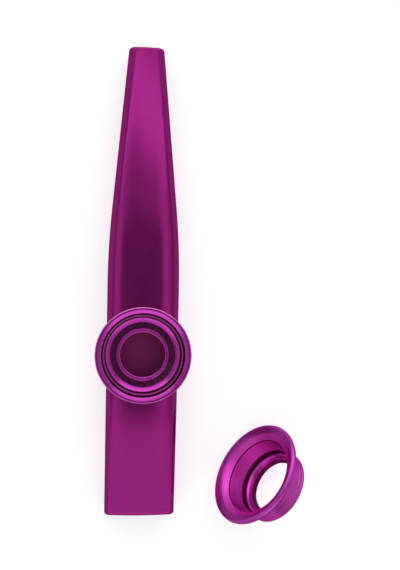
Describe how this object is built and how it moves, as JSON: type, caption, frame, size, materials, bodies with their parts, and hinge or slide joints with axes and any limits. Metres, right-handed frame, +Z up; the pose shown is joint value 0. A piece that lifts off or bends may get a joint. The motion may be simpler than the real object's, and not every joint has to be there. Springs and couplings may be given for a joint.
{
  "type": "kazoo",
  "caption": "Metal kazoo: a flat-sided tapered tube with a round turret cup that seats a clear film, and the loose flared ring that clamps the film.",
  "frame": {"origin": "on the flat underside of the tube, straight below the turret's axis", "axes": "+Z up along the turret's axis, +Y along the tube towards its narrow end, +X across the tube towards the loose cap"},
  "size_m": [0.0531, 0.1212, 0.0241],
  "materials": {
    "anodised_body": "purple dyed anodising on drawn tube, satin gloss",
    "anodised_turned": "purple dyed anodising on turned faces, bright",
    "clear_film": "thin clear film"
  },
  "bodies": {
    "kazoo": {"body_tube": "anodised_body", "turret_cup": "anodised_turned", "turret_eyelet": "anodised_turned"},
    "film": {"membrane": "clear_film"},
    "cap": {"retaining_cap": "anodised_turned"}
  },
  "joints": [
    {"name": "membrane_lift", "type": "slide", "parent": "kazoo", "child": "film", "axis": [0, 0, 1], "range_m": [0, 0.03]},
    {"name": "cap_lift", "type": "slide", "parent": "kazoo", "child": "cap", "axis": [0, 0, 1], "range_m": [0, 0.06]}
  ]
}
